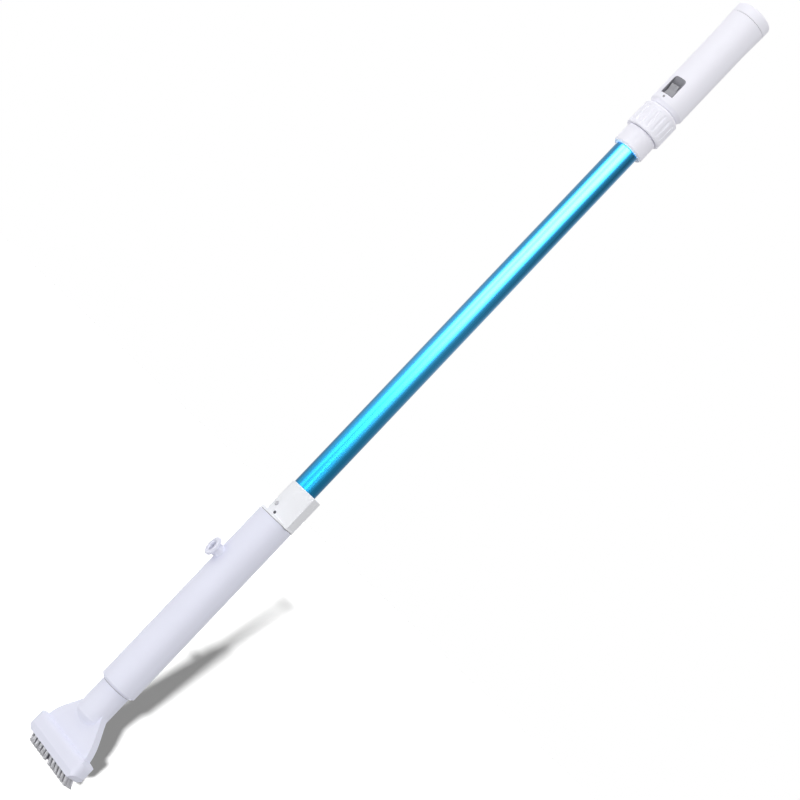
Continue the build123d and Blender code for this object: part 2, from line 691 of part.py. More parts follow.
with BuildPart() as pole_tube:
    add(ring(POLE_R, POLE_R - POLE_WALL, BLOCK_FLOOR, FERRULE_TOP))
    with BuildSketch(BUTTON_PLANE):
        Circle(BUTTON_R + FREE)
    extrude(amount=POLE_R + 2, mode=Mode.SUBTRACT)
finish(pole_tube.part, "pole_tube")

with BuildPart() as pole_ferrule:
    add(turned(
        (POLE_R, FERRULE_BOTTOM),
        (FERRULE_R - 1.4, FERRULE_BOTTOM),
        (FERRULE_R, FERRULE_BOTTOM + 1.8),
        (FERRULE_R, NUT_BOTTOM - 1.0),
        (FERRULE_R - 0.5, NUT_BOTTOM - 0.6),
        (FERRULE_TUBE_R, NUT_BOTTOM - 0.6),
        (FERRULE_TUBE_R, FERRULE_TOP - 3.5),
        (THREAD_R, FERRULE_TOP - 3.5),
        (THREAD_R, FERRULE_TOP),
        (POLE_R, FERRULE_TOP),
    ))
finish(pole_ferrule.part, "pole_ferrule")

with BuildPart() as union_gasket:
    add(ring(THREAD_R - 0.6, 13.2, FERRULE_TOP, FERRULE_TOP + GASKET_T))
finish(union_gasket.part, "union_gasket")

FLUTES = 18
FLUTE_R = 2.6
FLUTE_DEPTH = 0.85
FLUTE_BOTTOM = NUT_BOTTOM + 5.4
FLUTE_TOP = NUT_TOP - 8.0
NUT_CHAMFER = 3.2
NUT_FLOOR = 5.9              # end wall that draws the ferrule up

with BuildPart() as union_nut:
    add(turned(
        (FERRULE_TUBE_R + FREE, NUT_BOTTOM),
        (NUT_R - 0.7, NUT_BOTTOM),
        (NUT_R, NUT_BOTTOM + 0.7),
        (NUT_R, NUT_TOP - NUT_CHAMFER),
        (NUT_R - NUT_CHAMFER, NUT_TOP),
        (THREAD_R + FREE, NUT_TOP),
        (THREAD_R + FREE, NUT_BOTTOM + NUT_FLOOR),
        (FERRULE_TUBE_R + FREE, NUT_BOTTOM + NUT_FLOOR),
    ))
    with PolarLocations(NUT_R + FLUTE_R - FLUTE_DEPTH, FLUTES, start_angle=4):
        with Locations((0, 0, FLUTE_BOTTOM)):
            Cylinder(
                FLUTE_R,
                FLUTE_TOP - FLUTE_BOTTOM,
                align=(Align.CENTER, Align.CENTER, Align.MIN),
                mode=Mode.SUBTRACT,
            )
            Sphere(FLUTE_R, mode=Mode.SUBTRACT)
        with Locations((0, 0, FLUTE_TOP)):
            Sphere(FLUTE_R, mode=Mode.SUBTRACT)
finish(union_nut.part, "union_nut")

POLE_PLUG_BOTTOM = FERRULE_TOP - 12.0
PIN_SPREAD = 3.0
PIN_R = 0.9
PIN_LENGTH = 9.0

with BuildPart() as pole_plug:
    with BuildSketch(Plane.XY.offset(POLE_PLUG_BOTTOM)):
        Circle(POLE_R - POLE_WALL)
    extrude(amount=FERRULE_TOP - POLE_PLUG_BOTTOM)
    with BuildSketch(Plane.XY.offset(FERRULE_TOP)):
        with Locations((-PIN_SPREAD, 0), (PIN_SPREAD, 0)):
            Circle(PIN_R)
    extrude(amount=PIN_LENGTH)
finish(pole_plug.part, "pole_plug")

CABLE_BOTTOM = MOTOR_TOP + 6.0

with BuildPart() as power_cable:
    with BuildSketch(Plane.XY.offset(CABLE_BOTTOM)):
        with Locations((CABLE_X, 0)):
            Circle(CABLE_R)
    extrude(amount=POLE_PLUG_BOTTOM - CABLE_BOTTOM)
finish(power_cable.part, "power_cable")

# =====================================================================
# Hand grip with the batteries and the switch
# =====================================================================

GRIP_NECK_BOTTOM = FERRULE_TOP + GASKET_T
GRIP_FLOOR = 940.0
GRIP_BEVEL = (3.0, 4.5)
SOCKET_SEAT_R = 12.4
GRIP_SOCKET_TOP = GRIP_NECK_BOTTOM + 12.0
LENS_R = 1.4
LENS_PROUD = 0.2
SPIGOT_TOP = 1075.9
LENS_Z = 943.6
WINDOW_TOP_R = 3.6
FLARE_BOTTOM = 1040.0        # the grip widens above this to meet the cap


def window_sketch(margin):
    """Switch window: square at the bottom, rounded at the far end."""
    half = WINDOW_W / 2 - margin
    low = -WINDOW_H / 2 + margin
    high = WINDOW_H / 2 - margin
    arch = WINDOW_TOP_R - margin
    with BuildSketch() as window:
        with BuildLine():
            Polyline((-half, high - arch), (-half, low), (half, low), (half, high - arch))
            RadiusArc((-half, high - arch), (-half + arch, high), arch)
            Line((-half + arch, high), (half - arch, high))
            RadiusArc((half - arch, high), (half, high - arch), arch)
        make_face()
    return window.sketch


with BuildPart() as grip_shell:
    add(turned(
        (SOCKET_SEAT_R, GRIP_NECK_BOTTOM),
        (THREAD_R, GRIP_NECK_BOTTOM),
        (THREAD_R, GRIP_BOTTOM),
        (GRIP_R - GRIP_BEVEL[0], GRIP_BOTTOM),
        (GRIP_R, GRIP_BOTTOM + GRIP_BEVEL[1]),
        (GRIP_R, FLARE_BOTTOM),
        (CAP_R - 0.1, CAP_SEAM - 2),
        (CAP_R - 0.1, CAP_SEAM - 0.3),
        (SPIGOT_R, CAP_SEAM - 0.3),
        (SPIGOT_R, SPIGOT_TOP),
        (GRIP_BORE_R, SPIGOT_TOP),
        (GRIP_BORE_R, GRIP_FLOOR),
        (SOCKET_SEAT_R, GRIP_FLOOR),
    ))
    with BuildSketch(radial_plane(0, SWITCH_Z)):
        add(window_sketch(0))
    extrude(amount=GRIP_R + 2, mode=Mode.SUBTRACT)
    with BuildSketch(radial_plane(0, LENS_Z)):
        Circle(LENS_R)
    extrude(amount=GRIP_R + 2, mode=Mode.SUBTRACT)
finish(grip_shell.part.rotate(Axis.Z, SWITCH_AZ), "grip_shell")

with BuildPart() as grip_socket:
    add(ring(SOCKET_SEAT_R, 0, GRIP_NECK_BOTTOM, GRIP_SOCKET_TOP))
    with BuildSketch(Plane.XY.offset(GRIP_NECK_BOTTOM)):
        with Locations((-PIN_SPREAD, 0), (PIN_SPREAD, 0)):
            Circle(PIN_R)
    extrude(amount=PIN_LENGTH, mode=Mode.SUBTRACT)
finish(grip_socket.part, "grip_socket")

BOARD_T = 1.5
LEAD_R = 1.0
LEAD_PLACES = ((-4, 6), (4, 6))

with BuildPart() as grip_leads:
    with BuildSketch(Plane.XY.offset(GRIP_SOCKET_TOP)):
        with Locations(*LEAD_PLACES):
            Circle(LEAD_R)
    extrude(amount=CARRIER_BOTTOM - BOARD_T - GRIP_SOCKET_TOP)
finish(grip_leads.part, "grip_leads")

with BuildPart() as indicator_lens:
    with BuildSketch(radial_plane(0, LENS_Z).offset(GRIP_BORE_R - 1)):
        Circle(LENS_R)
    extrude(amount=GRIP_R - GRIP_BORE_R + 1 + LENS_PROUD)
finish(indicator_lens.part.rotate(Axis.Z, SWITCH_AZ), "indicator_lens")

TRAY_BACK = 9.0
ROCKER_Z = SWITCH_Z - 3.4
TILT = radians(9)
TRAY_WALL = 1.1
BEZEL_SET_BACK = 0.35        # the housing's face sits this far inside the grip's
HOUSING_HALF = 20.0
RAMP_FOOT = ROCKER_Z + ROCKER_H / 2 + 0.6
ROCKER_PIN_R = 0.8
ROCKER_PIN_HALF = ROCKER_W / 2 + 1.2
TERMINAL = (4.6, 0.8, 5.0)
TERMINAL_PLACES = ((0, -8), (0, -3), (0, 2))
ROCKER_PLANE = Plane(
    origin=(-ROCKER_W / 2, PIN_Y, ROCKER_Z), x_dir=(0, cos(TILT), sin(TILT)), z_dir=(1, 0, 0)
)

with BuildPart() as switch_housing:
    with BuildSketch(radial_plane(0, SWITCH_Z).offset(TRAY_BACK)):
        add(window_sketch(0))
    extrude(amount=GRIP_R - TRAY_BACK + 1)
    face_r = GRIP_R - BEZEL_SET_BACK
    add(ring(face_r, 0, SWITCH_Z - HOUSING_HALF, SWITCH_Z + HOUSING_HALF), mode=Mode.INTERSECT)
    # tray in front of the rocker, with a ramp that rises to the surface at the far end
    with BuildSketch(Plane.YZ):
        with BuildLine():
            Polyline(
                (-GRIP_R - 1, SWITCH_Z - WINDOW_H / 2 + TRAY_WALL),
                (TRAY_Y, SWITCH_Z - WINDOW_H / 2 + TRAY_WALL),
                (TRAY_Y, RAMP_FOOT),
                (-GRIP_R + 0.6, SWITCH_Z + WINDOW_H / 2 - 0.8),
                (-GRIP_R - 1, SWITCH_Z + WINDOW_H / 2 - 0.8),
                close=True,
            )
        make_face()
    extrude(amount=WINDOW_W / 2 - TRAY_WALL, both=True, mode=Mode.SUBTRACT)
    with BuildSketch(Plane.XZ.offset(TRAY_BACK + 1)):
        with Locations((0, ROCKER_Z)):
            Rectangle(ROCKER_W + 0.8, ROCKER_H + 0.8)
    extrude(amount=GRIP_R, mode=Mode.SUBTRACT)
    with BuildSketch(Plane.YZ):
        with Locations((PIN_Y, ROCKER_Z)):
            Circle(ROCKER_PIN_R)
    extrude(amount=ROCKER_PIN_HALF, both=True, mode=Mode.SUBTRACT)
finish(switch_housing.part.rotate(Axis.Z, SWITCH_AZ), "switch_housing")

with BuildPart() as rocker_pin:
    with BuildSketch(Plane.YZ):
        with Locations((PIN_Y, ROCKER_Z)):
            Circle(ROCKER_PIN_R)
    extrude(amount=ROCKER_PIN_HALF, both=True)
finish(rocker_pin.part.rotate(Axis.Z, SWITCH_AZ), "rocker_pin")

# rocker's side outline about its pin: negative is outward, the face dips in the middle
ROCKER_OUTLINE = (
    (1.2, -2.4),
    (-1.2, -6.9),
    (-5.6, -7.1),
    (-4.2, 0),
    (-5.6, 7.1),
    (-1.2, 6.9),
    (1.2, 2.4),
)

with BuildPart() as switch_rocker:
    with BuildSketch(ROCKER_PLANE):
        with BuildLine():
            Polyline(*ROCKER_OUTLINE, close=True)
        make_face()
    extrude(amount=ROCKER_W)
    with BuildSketch(Plane.YZ):
        with Locations((PIN_Y, ROCKER_Z)):
            Circle(ROCKER_PIN_R + RUNNING)
    extrude(amount=ROCKER_W, both=True, mode=Mode.SUBTRACT)
finish(switch_rocker.part.rotate(Axis.Z, SWITCH_AZ), "switch_rocker")

with BuildPart() as switch_terminals:
    with BuildSketch(radial_plane(0, SWITCH_Z).offset(TRAY_BACK - TERMINAL[2])):
        with Locations(*TERMINAL_PLACES):
            Rectangle(TERMINAL[0], TERMINAL[1])
    extrude(amount=TERMINAL[2])
finish(switch_terminals.part.rotate(Axis.Z, SWITCH_AZ), "switch_terminals")

with BuildPart() as contact_board:
    add(ring(GRIP_BORE_R, 0, CARRIER_BOTTOM - BOARD_T, CARRIER_BOTTOM))
finish(contact_board.part, "contact_board")

TIER_PITCH = CELL_LENGTH + 2 * CONTACT_T + CARRIER_PLATE
TIER_FLOORS = [CARRIER_BOTTOM + CARRIER_PLATE + TIER_PITCH * tier for tier in range(2)]

with BuildPart() as battery_carrier:
    add(ring(GRIP_BORE_R - 0.4, 0, CARRIER_BOTTOM, CARRIER_BOTTOM + CARRIER_PLATE))
    for floor in TIER_FLOORS:
        plate = floor + TIER_PITCH - CARRIER_PLATE
        add(ring(CARRIER_STEM_R, 0, floor, plate))
        add(ring(GRIP_BORE_R - CARRIER_PLATE, 0, plate, plate + CARRIER_PLATE))
finish(battery_carrier.part, "battery_carrier")

cell_number = 0
for floor in TIER_FLOORS:
    for quarter in range(4):
        cell_number += 1
        nub_up = quarter % 2 == 0
        with BuildPart() as cell:
            with BuildSketch(Plane.XY.offset(floor + CONTACT_T + (0 if nub_up else NUB_T))):
                with PolarLocations(CELL_RING_R, 1, start_angle=45 + 90 * quarter):
                    Circle(CELL_R)
            extrude(amount=CELL_LENGTH - NUB_T)
            with BuildSketch(Plane.XY.offset(floor + CONTACT_T + (CELL_LENGTH - NUB_T if nub_up else 0))):
                with PolarLocations(CELL_RING_R, 1, start_angle=45 + 90 * quarter):
                    Circle(NUB_R)
            extrude(amount=NUB_T)
        finish(cell.part, "cell_" + str(cell_number))

contacts = []
for floor in TIER_FLOORS:
    for level in (floor, floor + CONTACT_T + CELL_LENGTH):
        for quarter in range(4):
            with BuildPart() as contact:
                with BuildSketch(Plane.XY.offset(level)):
                    with PolarLocations(CELL_RING_R, 1, start_angle=45 + 90 * quarter):
                        Circle(CONTACT_R)
                extrude(amount=CONTACT_T)
            contacts.append(contact.part.solids()[0])
finish(Compound(children=contacts), "cell_contacts")

# =====================================================================
# Screw cap
# =====================================================================

CAP_WALL = 3.0
CAP_BORE_R = SPIGOT_R + FREE
CAP_EDGE = 2.6
CAP_SEAL_T = 1.2
CAP_SEAL_TOP = CAP_TOP - CAP_WALL - 0.05

with BuildPart() as end_cap:
    add(turned(
        (CAP_BORE_R, CAP_SEAM),
        (CAP_R - 0.5, CAP_SEAM),
        (CAP_R, CAP_SEAM + 0.6),
        (CAP_R, CAP_TOP),
        (0, CAP_TOP),
        (0, CAP_TOP - CAP_WALL),
        (CAP_BORE_R, CAP_TOP - CAP_WALL),
    ))
    rim = end_cap.edges().filter_by(GeomType.CIRCLE).filter_by(lambda e: abs(e.radius - CAP_R) < 0.01)
    fillet(rim.sort_by(Axis.Z)[-1], radius=CAP_EDGE)
finish(end_cap.part, "end_cap")

with BuildPart() as cap_gasket:
    add(ring(CAP_BORE_R - 0.2, GRIP_BORE_R - 0.4, CAP_SEAL_TOP - CAP_SEAL_T, CAP_SEAL_TOP))
finish(cap_gasket.part, "cap_gasket")
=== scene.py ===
"""Battery pool vacuum wand with a wall brush head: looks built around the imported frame.

Metres, in the frame of the CAD model: the pole runs along +Z with the bristle tips at
z = 0, and the front of the head faces -Y.
"""

import json
from math import cos, pi, radians, sin
from random import Random

import bpy
from mathutils import Matrix, Vector


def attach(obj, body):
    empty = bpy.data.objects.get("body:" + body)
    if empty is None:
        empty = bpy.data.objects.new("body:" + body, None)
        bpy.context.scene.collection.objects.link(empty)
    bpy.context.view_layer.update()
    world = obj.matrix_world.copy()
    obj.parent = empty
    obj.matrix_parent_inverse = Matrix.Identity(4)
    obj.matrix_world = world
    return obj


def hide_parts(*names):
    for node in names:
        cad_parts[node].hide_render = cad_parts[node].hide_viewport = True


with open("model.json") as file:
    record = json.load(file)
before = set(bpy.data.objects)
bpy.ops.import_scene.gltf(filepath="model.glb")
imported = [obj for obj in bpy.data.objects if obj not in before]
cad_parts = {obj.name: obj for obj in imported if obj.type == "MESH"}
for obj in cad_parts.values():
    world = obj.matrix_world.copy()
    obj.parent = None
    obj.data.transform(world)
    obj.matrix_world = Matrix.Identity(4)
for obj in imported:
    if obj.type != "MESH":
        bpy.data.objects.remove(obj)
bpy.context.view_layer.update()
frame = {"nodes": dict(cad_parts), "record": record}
nodes = frame["nodes"]
MM = 0.001
UP = Vector((0, 0, 1))

# ---------------------------------------------------------------- camera

CAMERA_AZIMUTH = radians(42)
CAMERA_DISTANCE = 1.877          # from the pole's centre line
CAMERA_HEIGHT = 0.365
AIM_HEIGHT = 0.519
AIM_SIDE = 0.0074
CAMERA_ROLL = radians(43.52)
LENS = 81.0                      # millimetres, on a sensor of SENSOR_WIDTH
SENSOR_WIDTH = 36.0


def around(azimuth):
    """Unit vector that points outward from the pole, 0 at the front and 90 at +X."""
    return Vector((sin(azimuth), -cos(azimuth), 0))


def add_camera():
    back = around(CAMERA_AZIMUTH)
    right = around(CAMERA_AZIMUTH + pi / 2)
    eye = back * CAMERA_DISTANCE + UP * CAMERA_HEIGHT
    aim = UP * AIM_HEIGHT + right * AIM_SIDE
    view = (eye - aim).normalized()
    level = UP.cross(view).normalized()
    top = view.cross(level)
    side = level * cos(CAMERA_ROLL) + top * sin(CAMERA_ROLL)
    tall = top * cos(CAMERA_ROLL) - level * sin(CAMERA_ROLL)
    data = bpy.data.cameras.new("camera")
    data.lens = LENS
    data.sensor_width = SENSOR_WIDTH
    data.clip_start = 0.01
    data.clip_end = 200.0
    camera = bpy.data.objects.new("camera", data)
    camera.matrix_world = Matrix.Translation(eye) @ Matrix((side, tall, view)).transposed().to_4x4()
    bpy.context.collection.objects.link(camera)
    bpy.context.scene.camera = camera


add_camera()

# ---------------------------------------------------------------- node helpers

# a mix node has several sockets of each name; these are the ones for colours
MIX_COLOURS = slice(6, 8)
MIX_RESULT = 2


class Graph:
    """Short names for building one node tree."""

    def __init__(self, tree):
        self.tree = tree
        tree.nodes.clear()

    def node(self, kind, **values):
        made = self.tree.nodes.new(kind)
        for key, value in values.items():
            setattr(made, key, value)
        return made

    def link(self, source, target):
        self.tree.links.new(source, target)

    def math(self, operation, *values):
        """Math node, whose values are numbers or sockets."""
        made = self.node("ShaderNodeMath", operation=operation)
        for value, target in zip(values, made.inputs):
            if isinstance(value, (int, float)):
                target.default_value = value
            else:
                self.link(value, target)
        return made.outputs[0]

    def ranged(self, value, start, end, first=0.0, last=1.0, smooth=False):
        """Maps start to end onto first to last, held at both ends."""
        made = self.node("ShaderNodeMapRange", interpolation_type="SMOOTHSTEP" if smooth else "LINEAR")
        for place, level in (("From Min", start), ("From Max", end), ("To Min", first), ("To Max", last)):
            made.inputs[place].default_value = level
        self.link(value, made.inputs["Value"])
        return made.outputs[0]

    def mixed(self, factor, first, second):
        """Colour that goes from first to second; each is a colour or a socket."""
        made = self.node("ShaderNodeMix", data_type="RGBA")
        self.link(factor, made.inputs[0])
        for value, target in zip((first, second), made.inputs[MIX_COLOURS]):
            if isinstance(value, tuple):
                target.default_value = (*value, 1)
            else:
                self.link(value, target)
        return made.outputs[MIX_RESULT]

    def object_place(self):
        """Sockets of the part's own x, y and z, in metres."""
        place = self.node("ShaderNodeTexCoord")
        split = self.node("ShaderNodeSeparateXYZ")
        self.link(place.outputs["Object"], split.inputs[0])
        return split.outputs


# ---------------------------------------------------------------- studio

# The studio's brightness by direction round the pole. Each stop is degrees to the right of the
# photo's viewing side, and radiance.
# A glossy surface sees one bright panel behind the camera and one to its left,
PANELS = (
    (-180, 0.8), (-134, 0.5), (-110, 0.6), (-92, 0.8), (-76, 2.4), (-60, 9.0),
    (-46, 13.0), (-32, 8.5), (-14, 13.5), (4, 12.5), (22, 5.0), (38, 1.2),
    (52, 0.45), (68, 0.27), (92, 0.2), (116, 0.35), (150, 0.7), (180, 0.8),
)
# and near the horizon a dimmer band, between the panels and their image in the floor.
DIM_BAND = (
    (-180, 0.7), (-134, 0.6), (-110, 1.0), (-92, 1.4), (-60, 1.4), (-44, 0.9), (-26, 0.5), (-8, 0.45),
    (10, 0.6), (24, 1.0), (40, 0.9), (56, 0.6), (76, 0.5), (100, 0.5), (130, 0.5), (180, 0.7),
)
BAND_INNER, BAND_OUTER = radians(3.5), radians(11.0)     # the band fades out between these heights
# A matt surface is lit by these, without panels.
SOFT_LIGHT = ((-180, 0.82), (-120, 0.97), (-60, 1.14), (0, 1.11), (60, 0.73), (120, 0.61), (180, 0.82))
RAMP_TOP = 14.0                  # radiance that a ramp shows as 1
FROM_BELOW = 0.45                # soft light straight up from below, against that from the sides


def ring_ramp(graph, turn, stops, interpolation):
    """Colour ramp over one turn, whose stops are radiance divided by RAMP_TOP."""
    ramp = graph.node("ShaderNodeValToRGB")
    ramp.color_ramp.interpolation = interpolation
    elements = ramp.color_ramp.elements
    while len(elements) < len(stops):
        elements.new(0.5)
    for element, (angle, radiance) in zip(elements, stops):
        element.position = (angle + 180) / 360
    for element, (angle, radiance) in zip(elements, stops):
        shade = radiance / RAMP_TOP
        element.color = (shade, shade, shade, 1)
    graph.link(turn, ramp.inputs[0])
    return ramp.outputs[0]


def direction(graph):
    """Where a ray goes: its turn round the pole as 0 to 1, and the sine of its height."""
    place = graph.node("ShaderNodeTexCoord")
    spin = graph.node("ShaderNodeMapping", vector_type="POINT")
    # x of the turned vector points to the viewing side, y to its right
    spin.inputs["Rotation"].default_value = (0, 0, pi / 2 - CAMERA_AZIMUTH)
    graph.link(place.outputs["Generated"], spin.inputs["Vector"])
    split = graph.node("ShaderNodeSeparateXYZ")
    graph.link(spin.outputs[0], split.inputs[0])
    angle = graph.math("ARCTAN2", split.outputs[1], split.outputs[0])
    turn = graph.math("MULTIPLY_ADD", angle, 1 / (2 * pi), 0.5)
    return turn, split.outputs[2]


def reflected_light(graph, turn, height):
    """The light in reflections: the panels, and the dim band along the horizon."""
    panels = ring_ramp(graph, turn, PANELS, "CARDINAL")
    band = ring_ramp(graph, turn, DIM_BAND, "CARDINAL")
    tilt = graph.math("ABSOLUTE", height)
    edge = graph.ranged(tilt, sin(BAND_INNER), sin(BAND_OUTER), smooth=True)
    return graph.mixed(edge, band, panels)


def soft_light(graph, turn, height):
    """The light on matt surfaces, of which less comes from below."""
    level = ring_ramp(graph, turn, SOFT_LIGHT, "B_SPLINE")
    dimmed = graph.node("ShaderNodeVectorMath", operation="SCALE")
    graph.link(level, dimmed.inputs[0])
    graph.link(graph.ranged(height, -1, 0, FROM_BELOW, 1), dimmed.inputs["Scale"])
    return dimmed.outputs[0]


def add_world():
    """Studio light, with plain white where the camera sees past the object."""
    world = bpy.data.worlds.new("studio")
    world.use_nodes = True
    graph = Graph(world.node_tree)
    turn, height = direction(graph)
    path = graph.node("ShaderNodeLightPath")
    soft = soft_light(graph, turn, height)
    light = graph.mixed(path.outputs["Is Glossy Ray"], soft, reflected_light(graph, turn, height))
    lit = graph.node("ShaderNodeBackground")
    lit.inputs["Strength"].default_value = RAMP_TOP
    graph.link(light, lit.inputs["Color"])
    plain = graph.node("ShaderNodeBackground")
    plain.inputs["Color"].default_value = (1, 1, 1, 1)
    both = graph.node("ShaderNodeMixShader")
    graph.link(path.outputs["Is Camera Ray"], both.inputs[0])
    graph.link(lit.outputs[0], both.inputs[1])
    graph.link(plain.outputs[0], both.inputs[2])
    out = graph.node("ShaderNodeOutputWorld")
    graph.link(both.outputs[0], out.inputs["Surface"])
    bpy.context.scene.world = world
    bpy.context.scene.view_settings.view_transform = "Standard"


add_world()

# ---------------------------------------------------------------- materials


def principled(name, color, roughness, metallic=0.0, specular=0.5):
    """A new material with one surface shader, to be refined by the functions below."""
    material = bpy.data.materials.new(name)
    material.use_nodes = True
    graph = Graph(material.node_tree)
    shader = graph.node("ShaderNodeBsdfPrincipled")
    shader.inputs["Base Color"].default_value = (*color, 1)
    shader.inputs["Roughness"].default_value = roughness
    shader.inputs["Metallic"].default_value = metallic
    shader.inputs["Specular IOR Level"].default_value = specular
    out = graph.node("ShaderNodeOutputMaterial")
    graph.link(shader.outputs[0], out.inputs["Surface"])
    return material, graph, shader


def object_noise(graph, scale, detail=2.0, stretch=(1, 1, 1)):
    """Noise fixed to the part; a small value in stretch draws it out along that axis."""
    place = graph.node("ShaderNodeTexCoord")
    mapping = graph.node("ShaderNodeMapping")
    mapping.inputs["Scale"].default_value = stretch
    graph.link(place.outputs["Object"], mapping.inputs["Vector"])
    noise = graph.node("ShaderNodeTexNoise")
    noise.inputs["Scale"].default_value = scale
    noise.inputs["Detail"].default_value = detail
    graph.link(mapping.outputs[0], noise.inputs["Vector"])
    return noise.outputs["Fac"]


def spread(graph, factor, low, high):
    """Maps the middle of a noise's range onto low to high."""
    return graph.ranged(factor, 0.3, 0.7, low, high)


def tinted(graph, shader, factor, first, second):
    """Base colour that goes from first to second with the factor."""
    color = graph.mixed(factor, first, second)
    graph.link(color, shader.inputs["Base Color"])
    return color


def bumped(graph, shader, height, distance, strength=1.0):
    bump = graph.node("ShaderNodeBump")
    bump.inputs["Distance"].default_value = distance
    bump.inputs["Strength"].default_value = strength
    graph.link(height, bump.inputs["Height"])
    graph.link(bump.outputs[0], shader.inputs["Normal"])


# colour of the dark joint lines and of the painted shadow bands
SEAM_AND_SHADOW_DARK = (0.02, 0.02, 0.025)


def seam_and_shadow_bands(graph, shader, color, seams_and_shadows):
    """Darkens the base colour in bands round the part: joint lines, and painted shadow where an edge
    overhangs the part.

    Each band is its height and half width in millimetres, and its strength."""
    z = graph.object_place()[2]
    for height, half, strength in seams_and_shadows:
        line = graph.math("COMPARE", z, height * MM, half * MM)
        color = graph.mixed(graph.math("MULTIPLY", line, strength), color, SEAM_AND_SHADOW_DARK)
    graph.link(color, shader.inputs["Base Color"])


def moulded(name, color, shade, roughness=0.5, specular=0.2, grain=2600, depth=0.00002, seams_and_shadows=()):
    """Moulded plastic: fine grain, slow drift of tone and of gloss."""
    material, graph, shader = principled(name, color, roughness, specular=specular)
    drift = object_noise(graph, 14, 3)
    darker = tuple(c * shade for c in color)
    toned = tinted(graph, shader, spread(graph, drift, 0, 1), darker, color)
    if seams_and_shadows:
        seam_and_shadow_bands(graph, shader, toned, seams_and_shadows)
    gloss = spread(graph, object_noise(graph, 60, 4), roughness - 0.05, roughness + 0.06)
    graph.link(gloss, shader.inputs["Roughness"])
    bumped(graph, shader, object_noise(graph, grain, 2), depth, 0.35)
    return material


def machined(name, color, roughness=0.3, stretch=(1, 1, 0.02), shade=0.8):
    """Bare metal with fine tool marks and a few duller patches."""
    material, graph, shader = principled(name, color, roughness, metallic=1.0)
    marks = object_noise(graph, 1200, 3, stretch)
    tinted(graph, shader, spread(graph, marks, 0, 1), tuple(c * shade for c in color), color)
    dull = spread(graph, object_noise(graph, 90, 3), roughness - 0.06, roughness + 0.12)
    graph.link(dull, shader.inputs["Roughness"])
    bumped(graph, shader, marks, 0.00001, 0.3)
    return material


# painted shade: the tube's tone is darkened, and its clear coat thinned, below the first height, and full
# above the second, which dims its reflections at the lower end
SHADED_BELOW, LIT_ABOVE = 0.37, 0.62
SHADED_SHARE = 0.3                 # what is left of the full tone and coat at the lower end, under the painted shade
STREAK_AND_SHADE_DARKEST = 0.42                   # brightness of the darkest tone, from streaks and painted shade, against the full one


def anodised(name, color):
    """Drawn and anodised tube: fine streaks along its length, and painted shade at its lower end, where
    tone and coat are lowered to dim its reflections.
    """
    material, graph, shader = principled(name, color, 0.24, metallic=1.0)
    shader.inputs["Coat Roughness"].default_value = 0.16
    streak = object_noise(graph, 900, 3, (1, 1, 0.004))
    # painted shade: tone and coat weight fall towards the tube's lower end
    painted_light_level = graph.ranged(graph.object_place()[2], SHADED_BELOW, LIT_ABOVE, SHADED_SHARE, 1, smooth=True)
    tone = graph.math("MULTIPLY", spread(graph, streak, 0.56, 1), painted_light_level)
    tinted(graph, shader, tone, tuple(c * STREAK_AND_SHADE_DARKEST for c in color), color)
    graph.link(painted_light_level, shader.inputs["Coat Weight"])
    gloss = spread(graph, object_noise(graph, 1400, 2, (1, 1, 0.006)), 0.2, 0.3)
    graph.link(gloss, shader.inputs["Roughness"])
    bumped(graph, shader, streak, 0.00001, 0.15)
    return material


BRISTLE_PALE, BRISTLE_DARK = (0.7, 0.7, 0.73), (0.13, 0.13, 0.16)
LEAN_PER_HEIGHT = 0.31           # how far the bristles lean towards +Y on their way down
LEAN_AT_TIPS = 3.2 * MM
OUTSIDE_Y = (4.5 * MM, 5.5 * MM)     # from dark to pale on the long sides
OUTSIDE_X = (35.6 * MM, 36.8 * MM)   # and at the ends


def filament_look(name):
    """Pale bristles that are dark between the rows, where no light reaches their inner sides."""
    material, graph, shader = principled(name, BRISTLE_PALE, 0.5, specular=0.25)
    x, y, z = graph.object_place()
    straight_y = graph.math("ADD", graph.math("MULTIPLY_ADD", z, LEAN_PER_HEIGHT, y), -LEAN_AT_TIPS)
    long_sides = graph.ranged(graph.math("ABSOLUTE", straight_y), *OUTSIDE_Y)
    ends = graph.ranged(graph.math("ABSOLUTE", x), *OUTSIDE_X)
    outside = graph.math("MAXIMUM", long_sides, ends)
    mottle = spread(graph, object_noise(graph, 900, 2), 0.82, 1.0)
    tinted(graph, shader, graph.math("MULTIPLY", outside, mottle), BRISTLE_DARK, BRISTLE_PALE)
    return material


def printed_cell(name):
    """Battery wrap: glossy dark green film with fine scuffs along it."""
    material, graph, shader = principled(name, (0.02, 0.09, 0.05), 0.25, metallic=0.6)
    scuffs = object_noise(graph, 420, 4, (1, 1, 0.15))
    tinted(graph, shader, spread(graph, scuffs, 0, 1), (0.015, 0.06, 0.035), (0.03, 0.13, 0.07))
    graph.link(spread(graph, scuffs, 0.2, 0.4), shader.inputs["Roughness"])
    bumped(graph, shader, scuffs, 0.00001, 0.2)
    return material


